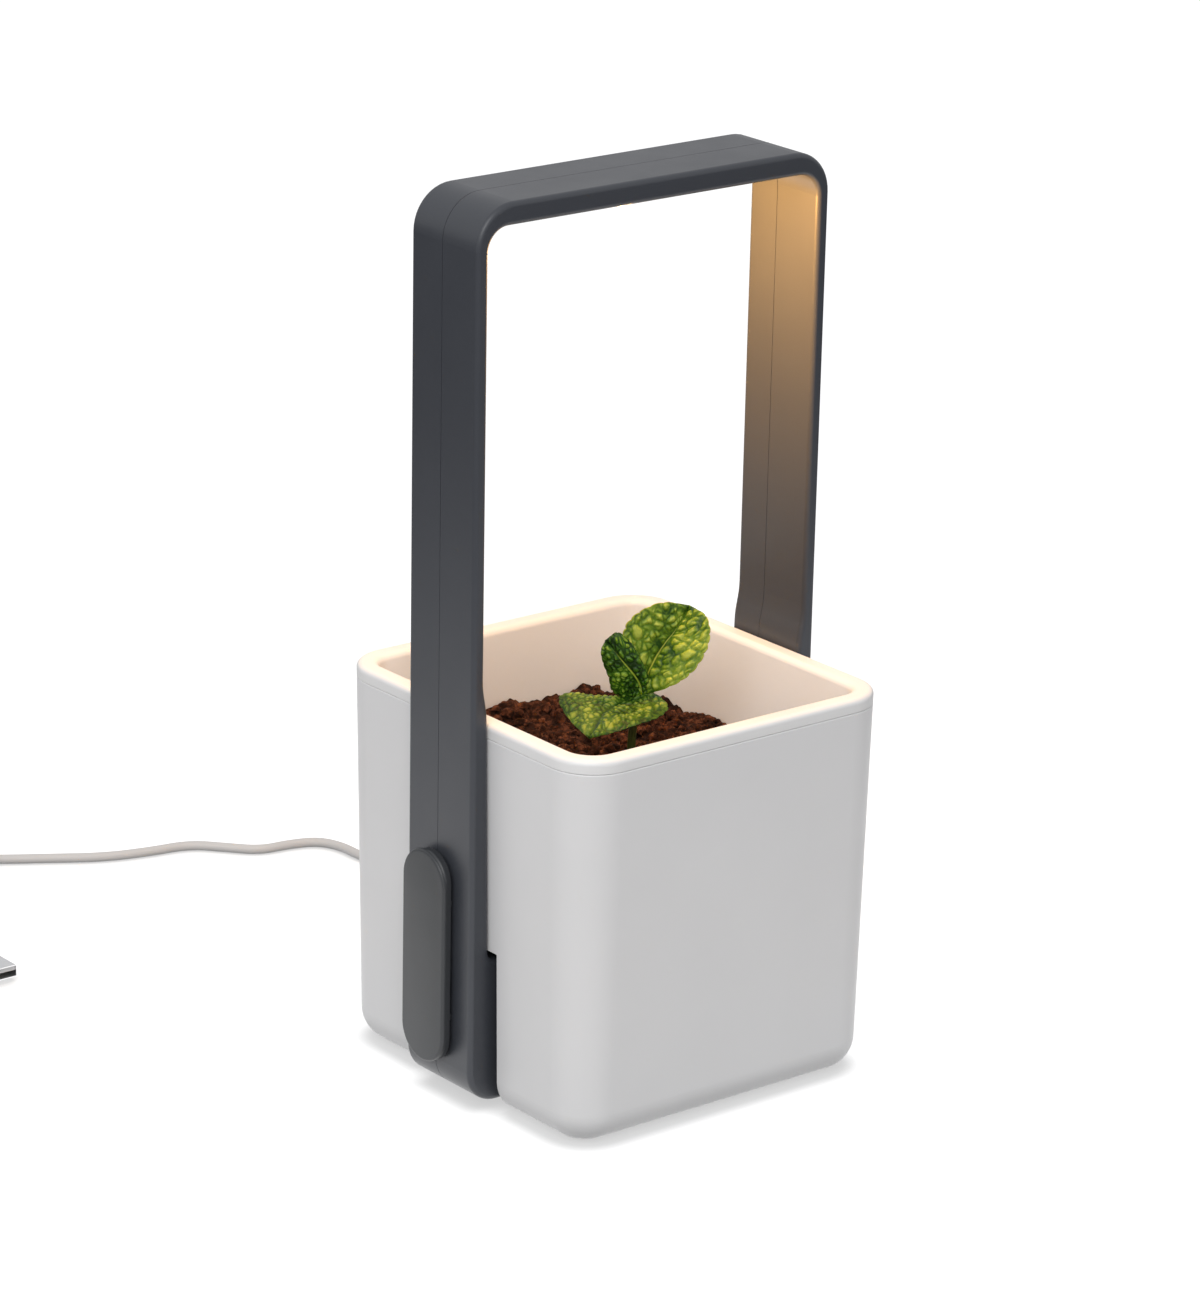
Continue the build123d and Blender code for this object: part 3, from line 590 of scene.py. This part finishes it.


# The tone attribute runs from 0 in the creases to 1 on the cells: painted shade in the creases and a
# painted highlight on the cell tops, over random tone. The rib attribute is 1 on the midrib and along a
# thin painted highlight at the edge.
def leafSkin(name, dark, middle, pale, rib):
    material, tree, shader = newMaterial(name)
    shader.inputs["Specular IOR Level"].default_value = leafFinish["specular"]
    shader.inputs["Subsurface Weight"].default_value = leafFinish["underLight"]
    shader.inputs["Subsurface Radius"].default_value = leafFinish["underReach"]
    toneAndPaintedLight = node(tree, "ShaderNodeAttribute", attribute_name="toneAndPaintedLight")
    ribAndEdgeHighlight = node(tree, "ShaderNodeAttribute", attribute_name="ribAndEdgeHighlight")
    spots = blotches(tree, leafFinish["spotScale"], 4.0)
    uneven = node(tree, "ShaderNodeMath", operation="MULTIPLY_ADD")
    tree.links.new(spread(tree, spots, -0.8, 0.8), uneven.inputs[0])
    uneven.inputs[1].default_value = 0.5
    tree.links.new(toneAndPaintedLight.outputs["Fac"], uneven.inputs[2])
    body = ramp(tree, uneven.outputs[0], [(0.05, dark), (0.5, middle), (1.0, pale)])
    # the rib colour goes on the midrib and on the painted highlight along the edge
    mix = node(tree, "ShaderNodeMix", data_type="RGBA")
    tree.links.new(ribAndEdgeHighlight.outputs["Fac"], mix.inputs["Factor"])
    tree.links.new(body, mix.inputs[6])
    mix.inputs[7].default_value = (*rib, 1)
    tree.links.new(mix.outputs[2], shader.inputs["Base Color"])
    tree.links.new(spread(tree, spots, *leafFinish["roughness"]), shader.inputs["Roughness"])
    addBump(tree, shader, blotches(tree, leafFinish["poreScale"]), leafFinish["poreDepth"])
    return material


leafGreen = leafSkin(
    "leafGreen", (0.012, 0.055, 0.002), (0.125, 0.225, 0.009), (0.38, 0.46, 0.060), (0.50, 0.50, 0.06)
)
leafDeep = leafSkin(
    "leafDeep", (0.005, 0.028, 0.001), (0.040, 0.125, 0.004), (0.26, 0.40, 0.040), (0.34, 0.44, 0.05)
)
# the low leaf's rib colour is as dark as its creases: painted shade along the fold of the leaf
leafLow = leafSkin(
    "leafLow", (0.010, 0.040, 0.002), (0.066, 0.145, 0.006), (0.30, 0.36, 0.045), (0.010, 0.045, 0.002)
)

# Leaf lines are in millimetres from the top of the stem: across the plant, forward, and up.
# Each has seven points from the leaf's foot to its tip.
plant = {
    "stemTop": (4.7, -3.8, 126.0),
    "across": (0.780, -0.626, 0),
    "forward": (-0.626, -0.780, 0),
    "thickness": 0.35,
    "grid": (150, 110),         # squares along and across a leaf
    "teeth": 12,
    "toothDepth": 0.045,        # share of the half width
    "sideVeins": 6.5,
    "veinSlant": 0.45,
    "veinBend": 1.3,
    "veinWander": 0.16,
    "stemRadius": 1.5,
    "stemTaper": 0.15,
    "stemLine": [(0.3, 0, -26), (0.2, 0, -18), (0.5, 0, -11), (1.4, 0, -5), (3.1, 0, 1.2)],
    "leaves": [
        {
            "name": "leaf_tall",
            "skin": leafGreen,
            "rib": [(3.1, 0, 1.3), (4.9, -0.5, 8.3), (7.6, -1.2, 14.4), (10.6, -2, 19.3),
                    (13.4, -2.8, 22.8), (16.2, -3.5, 27.2), (18.5, -4, 32.1)],
            "left": [(3.1, 0, 1.3), (-0.5, 2, 9.2), (-3.2, 3, 18.0), (-3.0, 2, 25.7),
                     (1.5, 0, 30.6), (9.5, -2, 33.6), (18.5, -4, 32.1)],
            "right": [(3.1, 0, 1.3), (12.6, 4, 6.1), (19.3, 5, 11.1), (23.9, 4, 17.9),
                      (25.5, 2, 24.2), (24.0, -1, 29.5), (18.5, -4, 32.1)],
            "bulge": 0.6,
            "cell": 3.3,
            "pucker": 0.85,
            "outline": 0.6,
            "tone": 0.16,
            "paler": (0.10, 0.10),
            "seed": 3.1,
        },
        {
            "name": "leaf_small",
            "skin": leafDeep,
            "rib": [(3.1, 0, 1.3), (2.6, 1.5, 5.7), (0.9, 3, 9.3), (-1.1, 4, 12.1),
                    (-3.8, 4.5, 15.5), (-6.5, 4.5, 19.0), (-9.0, 4, 22.2)],
            "left": [(3.1, 0, 1.3), (-2.5, -1, 0.3), (-6.6, -1, 2.5), (-7.9, 0.5, 7.7),
                     (-9.8, 2, 13.2), (-10.6, 3.5, 18.2), (-9.0, 4, 22.2)],
            "right": [(3.1, 0, 1.3), (5.2, 1, 5.3), (5.3, 2, 9.7), (2.4, 3, 16.0),
                      (-1.0, 3.5, 21.7), (-5.2, 4, 24.9), (-9.0, 4, 22.2)],
            "bulge": 0.8,
            "cell": 1.9,
            "pucker": 0.6,
            "outline": 0.2,
            "tone": 0.10,
            "paler": (0.06, -0.08),
            "seed": 8.4,
        },
        {
            "name": "leaf_low",
            "skin": leafLow,
            "rib": [(1.2, 0, 0), (-2.2, 2.8, 0.1), (-4.5, 5.5, 0.1), (-7.0, 8.3, -0.4),
                    (-9.3, 11.5, -1.2), (-11.4, 17.5, -2.8), (-13.8, 24.4, -5.4)],
            "left": [(0.5, -1, 0.4), (-7.0, -2, 0.1), (-14.5, -1, 0.8), (-21.0, 2, 2.8),
                     (-24.3, 5, 1.2), (-20.5, 13, -3.0), (-13.8, 24.4, -5.4)],
            "right": [(5.0, -2, 1.7), (8.2, 0, 2.2), (12.2, 5, -0.3), (9.5, 11, -1.8),
                      (3.9, 16, -2.4), (-5.3, 21, -4.1), (-13.8, 24.4, -5.4)],
            "bulge": 0.7,
            "cell": 2.2,
            "pucker": 0.6,
            "outline": 0.0,
            "tone": 0.14,
            "paler": (0.02, 0.0),
            "seed": 5.7,
        },
    ],
}


def plantPoint(local):
    top, across, forward = (Vector(plant[key]) for key in ("stemTop", "across", "forward"))
    return (top + across * local[0] + forward * local[1] + Vector((0, 0, local[2]))) * mm


# smooth curve through the points of a line, share 0 to 1
def alongLine(line, share):
    place = share * (len(line) - 1)
    index = min(int(place), len(line) - 2)
    t = place - index
    b, c = line[index], line[index + 1]
    a = line[index - 1] if index else b + (b - c)
    d = line[index + 2] if index + 2 < len(line) else c + (c - b)
    square, cube = 2 * a - 5 * b + 4 * c - d, 3 * b - 3 * c + d - a
    return 0.5 * (2 * b + (c - a) * t + square * t * t + cube * t ** 3)


def smoothStep(low, high, value):
    t = max(0.0, min(1.0, (value - low) / (high - low)))
    return t * t * (3 - 2 * t)


# rounded teeth along the edge, as a share to take off the half width
def toothAt(u, v):
    wave = 1 - abs(math.sin(math.pi * plant["teeth"] * u)) ** 0.5
    return plant["toothDepth"] * wave * smoothStep(0.75, 1.0, abs(v))


# How far a point is from the nearest side vein, in veins. They leave the rib at a slant and
# bend towards the tip.
def veinGap(leaf, u, v, reach, length):
    bent = abs(v) * reach / length
    slant = (u - bent * plant["veinSlant"] - bent * bent * plant["veinBend"]) * plant["sideVeins"]
    wave = Vector((slant, v * reach / (leaf["cell"] * mm), leaf["seed"]))
    slant += plant["veinWander"] * noise.noise(wave * 1.3)
    return abs(slant - round(slant))


# how high the puckers stand between the veins, 0 to 1, and how pale the blade is there: painted shade
# in the creases and beside the midrib, a painted highlight on the pucker tops, and random patches of tone
def puckerAt(leaf, u, v, reach, length):
    side = veinGap(leaf, u, v, reach, length)
    spot = Vector((u * length, v * reach, 0)) / (leaf["cell"] * mm) + Vector((0, 0, leaf["seed"]))
    warp = noise.noise_vector(spot * 0.8) * 0.3 + noise.noise_vector(spot * 2.5) * 0.12
    near, _ = noise.voronoi(spot + warp)
    gap = near[1] - near[0]
    middleDip = smoothStep(0.0, 1.1 * mm, abs(v) * reach)
    calm = 1 - 0.75 * smoothStep(0.88, 1.0, abs(v))
    dome = smoothStep(0.0, 0.6, gap) * (0.2 + 0.8 * smoothStep(0.0, 0.17, side)) * middleDip * calm
    # painted shade: darker in the creases between the cells and along the side veins
    creaseShade = smoothStep(0.0, 0.22, gap) * (0.15 + 0.85 * smoothStep(0.0, 0.13, side))
    patch = noise.noise(spot * 0.45 + Vector((9, 4, 2)))
    # the domes are painted paler on top, a painted highlight; the patches are random tone
    tone = 0.26 * creaseShade + 0.40 * dome + 0.60 * patch + leaf["tone"]
    # painted shade beside the midrib, where the blade dips
    return dome, tone * (0.55 + 0.45 * middleDip) + leaf["paler"][0 if v > 0 else 1]


# 1 on the midrib, which fades out towards the tip, and along the edge a thin painted highlight of the
# leaf's own strength
def ribAt(leaf, u, v, reach):
    width = (0.34 * (1.1 - u) + 0.08) * mm
    line = (1 - smoothStep(width * 0.5, width, abs(v) * reach)) * smoothStep(0.85, 0.55, u)
    return max(line, leaf["outline"] * smoothStep(0.972, 0.99, abs(v)))


def growLeaf(leaf):
    rib, left, right = ([plantPoint(point) for point in leaf[key]] for key in ("rib", "left", "right"))
    length = sum((b - a).length for a, b in zip(rib, rib[1:]))
    shape = bmesh.new()
    bmesh.ops.create_grid(shape, x_segments=plant["grid"][0], y_segments=plant["grid"][1], size=1.0)
    toneAndPaintedLight = shape.verts.layers.float.new("toneAndPaintedLight")
    ribAndEdgeHighlight = shape.verts.layers.float.new("ribAndEdgeHighlight")
    heights = {}
    for vertex in shape.verts:
        u, v = (vertex.co.x + 1) / 2, vertex.co.y
        middle, rim = alongLine(rib, u), alongLine(left if v > 0 else right, u)
        reach = (rim - middle).length
        dome, vertex[toneAndPaintedLight] = puckerAt(leaf, u, v, reach, length)
        vertex[ribAndEdgeHighlight] = ribAt(leaf, u, v, reach)
        heights[vertex] = (dome * leaf["pucker"] + leaf["bulge"] * math.sin(math.pi * abs(v))) * mm
        vertex.co = middle.lerp(rim, abs(v) * (1 - toothAt(u, v)))
    bmesh.ops.remove_doubles(shape, verts=shape.verts, dist=1e-6)
    shape.normal_update()
    toViewer = Vector(plant["forward"]) + Vector((0, 0, 1.2))
    if sum(face.normal.dot(toViewer) * face.calc_area() for face in shape.faces) < 0:
        bmesh.ops.reverse_faces(shape, faces=shape.faces)
        shape.normal_update()
    moves = [(vertex, vertex.normal.copy()) for vertex in shape.verts]
    for vertex, normal in moves:
        vertex.co += normal * heights[vertex]
    piece = link(leaf["name"], shape, leaf["skin"], "planter")
    wall = piece.modifiers.new("blade", "SOLIDIFY")
    wall.thickness = plant["thickness"] * mm
    wall.offset = -1


for leaf in plant["leaves"]:
    growLeaf(leaf)

stemSkin = leafSkin(
    "stemSkin", (0.045, 0.060, 0.008), (0.085, 0.105, 0.014), (0.13, 0.16, 0.025), (0.1, 0.2, 0.03)
)


# a closed tube along a smooth line
def growTube(name, line, radius, skin, rings=34, sides=20):
    shape = bmesh.new()
    loops = []
    for ring in range(rings + 1):
        share = ring / rings
        here = alongLine(line, share)
        ahead = alongLine(line, min(1.0, share + 0.01)) - alongLine(line, max(0.0, share - 0.01))
        turn = ahead.to_track_quat("Z", "Y").to_matrix().to_4x4()
        made = bmesh.ops.create_circle(
            shape, segments=sides, radius=radius(share), matrix=Matrix.Translation(here) @ turn
        )
        loops.append([edge for edge in shape.edges if all(v in made["verts"] for v in edge.verts)])
    for lower, upper in zip(loops, loops[1:]):
        bmesh.ops.bridge_loops(shape, edges=lower + upper)
    bmesh.ops.holes_fill(shape, edges=loops[0] + loops[-1], sides=sides)
    bmesh.ops.recalc_face_normals(shape, faces=shape.faces)
    return link(name, shape, skin, "planter")


# thinner towards the leaves, share 0 to 1 along the stem
def stemRadius(share):
    return plant["stemRadius"] * mm * (1 - plant["stemTaper"] * share)


stemLine = [plantPoint(point) for point in plant["stemLine"]]
stem = growTube("stem", stemLine, stemRadius, stemSkin)
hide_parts("seedling")

print("soil")

bed = {
    "level": 100.6,
    "grid": 190,
    "halfX": 56.2,
    "halfY": 57.4,
    "corner": 7.5,
    "floor": 64.4,
    "taper": 0.965,
    "clods": (9.5, 4.6, 2.0),       # sizes of the lumps, coarse to fine
    "clodHeights": (2.8, 2.2, 1.2),
    # X, Y, height and radius
    "mounds": [(-2, 57, 7.5, 8), (16, 57, 3.2, 8), (32, 57, 6.0, 8), (53, 42, 2.0, 7), (55, 15, 2.2, 7),
               (-38, 30, 5.2, 17), (-48, -8, 3.6, 14), (-20, 5, 2.4, 16), (10, -30, 1.4, 18)],
    "crumbs": 2299,
    "crumbsAtOnce": 50,
    "crumbRadius": (0.4, 2.5),      # smallest and largest, most of them small
    "fineCrumb": 0.8,               # radius below which a crumb has fewer faces
    "crumbMargin": 3,
    "fibres": 260,
    "fibreMargin": 7,
    "fibreParts": 4,
    "seed": 12,
}


# millimetres, before the crumbs
def soilHeight(x, y):
    height = bed["level"]
    for moundX, moundY, rise, radius in bed["mounds"]:
        height += rise * math.exp(-((x - moundX) ** 2 + (y - moundY) ** 2) / (2 * radius * radius))
    spot = Vector((x, y, 3.7))
    for size, rise in zip(bed["clods"], bed["clodHeights"]):
        turned = spot / size + noise.noise_vector(spot / (size * 1.4)) * 0.4
        near, _ = noise.voronoi(turned)
        lump = math.sqrt(max(0.0, 1 - (near[0] / 0.85) ** 2))
        height += rise * (lump - 0.6)
    return height + noise.noise(spot / 0.8) * 0.25


def layBed(skin):
    shape = bmesh.new()
    bmesh.ops.create_grid(shape, x_segments=bed["grid"], y_segments=bed["grid"], size=1.0)
    corner = bed["corner"]
    innerX, innerY = bed["halfX"] - corner, bed["halfY"] - corner
    for vertex in shape.verts:
        x, y = vertex.co.x * bed["halfX"], vertex.co.y * bed["halfY"]
        overX, overY = max(0.0, abs(x) - innerX), max(0.0, abs(y) - innerY)
        far = math.hypot(overX, overY)
        if far > corner:
            x = math.copysign(innerX + overX * corner / far, x)
            y = math.copysign(innerY + overY * corner / far, y)
        vertex.co = Vector((x, y, soilHeight(x, y))) * mm
    rim = [edge for edge in shape.edges if edge.is_boundary]
    skirt = bmesh.ops.extrude_edge_only(shape, edges=rim)
    low = [part for part in skirt["geom"] if isinstance(part, bmesh.types.BMVert)]
    for vertex in low:
        vertex.co = Vector((vertex.co.x * bed["taper"], vertex.co.y * bed["taper"], bed["floor"] * mm))
    edges = [part for part in skirt["geom"] if isinstance(part, bmesh.types.BMEdge)]
    bottom = [edge for edge in edges if edge.is_boundary]
    bmesh.ops.holes_fill(shape, edges=bottom, sides=0)
    bmesh.ops.recalc_face_normals(shape, faces=shape.faces)
    piece = link("soil_bed", shape, skin, "planter")
    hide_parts("soil")


def soilSkin(name, dark, middle, light):
    material, tree, shader = newMaterial(name, Roughness=0.95)
    shader.inputs["Specular IOR Level"].default_value = 0.15
    tone = ramp(tree, blotches(tree, 260, 6.0, 0.7), [(0.34, dark), (0.5, middle), (0.66, light)])
    tree.links.new(tone, shader.inputs["Base Color"])
    addBump(tree, shader, blotches(tree, 1500, 6.0, 0.7), 0.0005)
    addBump(tree, shader, blotches(tree, 600, 5.0, 0.65), 0.0009)
    return material


def addCrumb(shape, draw):
    smallest, largest = bed["crumbRadius"]
    x = draw.uniform(-1, 1) * (bed["halfX"] - bed["crumbMargin"])
    y = draw.uniform(-1, 1) * (bed["halfY"] - bed["crumbMargin"])
    size = smallest + (largest - smallest) * draw.random() ** 3
    finer = 1 if size < bed["fineCrumb"] else 2
    crumb = bmesh.ops.create_icosphere(shape, subdivisions=finer, radius=size * mm)
    place = Vector((x, y, soilHeight(x, y) + size * 0.25)) * mm
    squash = Vector((draw.uniform(0.7, 1.2), draw.uniform(0.7, 1.2), draw.uniform(0.6, 1.0)))
    grain = draw.uniform(0, 50)
    for vertex in crumb["verts"]:
        rough = noise.noise(vertex.co * 900 + Vector((grain, 0, 0)))
        vertex.co = vertex.co * squash * (1 + 0.45 * rough)
        vertex.co += place


# made in small batches, because a mesh that has grown large takes new crumbs slowly
def scatterCrumbs(skin):
    draw = random.Random(bed["seed"])
    whole = bmesh.new()
    batch = bpy.data.meshes.new("batch")
    for done in range(0, bed["crumbs"], bed["crumbsAtOnce"]):
        shape = bmesh.new()
        for _ in range(min(bed["crumbsAtOnce"], bed["crumbs"] - done)):
            addCrumb(shape, draw)
        shape.to_mesh(batch)
        shape.free()
        whole.from_mesh(batch)
    bpy.data.meshes.remove(batch)
    piece = link("soil_crumbs", whole, skin, "planter", smooth=False)


# thin curved fibres that lie in the soil
def scatterFibres(skin):
    draw = random.Random(bed["seed"] + 1)
    shape = bmesh.new()
    for _ in range(bed["fibres"]):
        x = draw.uniform(-1, 1) * (bed["halfX"] - bed["fibreMargin"])
        y = draw.uniform(-1, 1) * (bed["halfY"] - bed["fibreMargin"])
        heading, bend = draw.uniform(0, 2 * math.pi), draw.uniform(-0.5, 0.5)
        step, radius = draw.uniform(0.8, 1.9), draw.uniform(0.06, 0.13)
        ring = bmesh.ops.create_circle(shape, segments=3, radius=radius * mm, cap_ends=True)["verts"]
        face = ring[0].link_faces[0]
        here = Vector((x, y, soilHeight(x, y) + 0.1))
        turn = Matrix.Rotation(heading, 4, "Z") @ Matrix.Rotation(math.pi / 2, 4, "Y")
        bmesh.ops.transform(shape, verts=ring, matrix=Matrix.Translation(here * mm) @ turn)
        for part in range(bed["fibreParts"]):
            heading += bend
            ahead = here + Vector((math.cos(heading), math.sin(heading), 0)) * step
            arch = 0.15 + 0.9 * math.sin((part + 1) * 0.8)
            ahead.z = max(soilHeight(ahead.x, ahead.y) + arch, here.z - 0.5)
            face = bmesh.ops.extrude_discrete_faces(shape, faces=[face])["faces"][0]
            bmesh.ops.translate(shape, verts=face.verts[:], vec=(ahead - here) * mm)
            here = ahead
    bmesh.ops.recalc_face_normals(shape, faces=shape.faces)
    piece = link("soil_fibres", shape, skin, "planter", smooth=False)


soilBrown = soilSkin("soilBrown", (0.0035, 0.0015, 0.0010), (0.030, 0.0110, 0.0062), (0.17, 0.064, 0.034))
crumbBrown = soilSkin("crumbBrown", (0.008, 0.0034, 0.0020), (0.056, 0.0195, 0.0105), (0.26, 0.100, 0.052))
fibreBrown = soilSkin("fibreBrown", (0.05, 0.02, 0.009), (0.15, 0.065, 0.03), (0.30, 0.16, 0.085))
layBed(soilBrown)
scatterCrumbs(crumbBrown)
scatterFibres(fibreBrown)

print("finish")
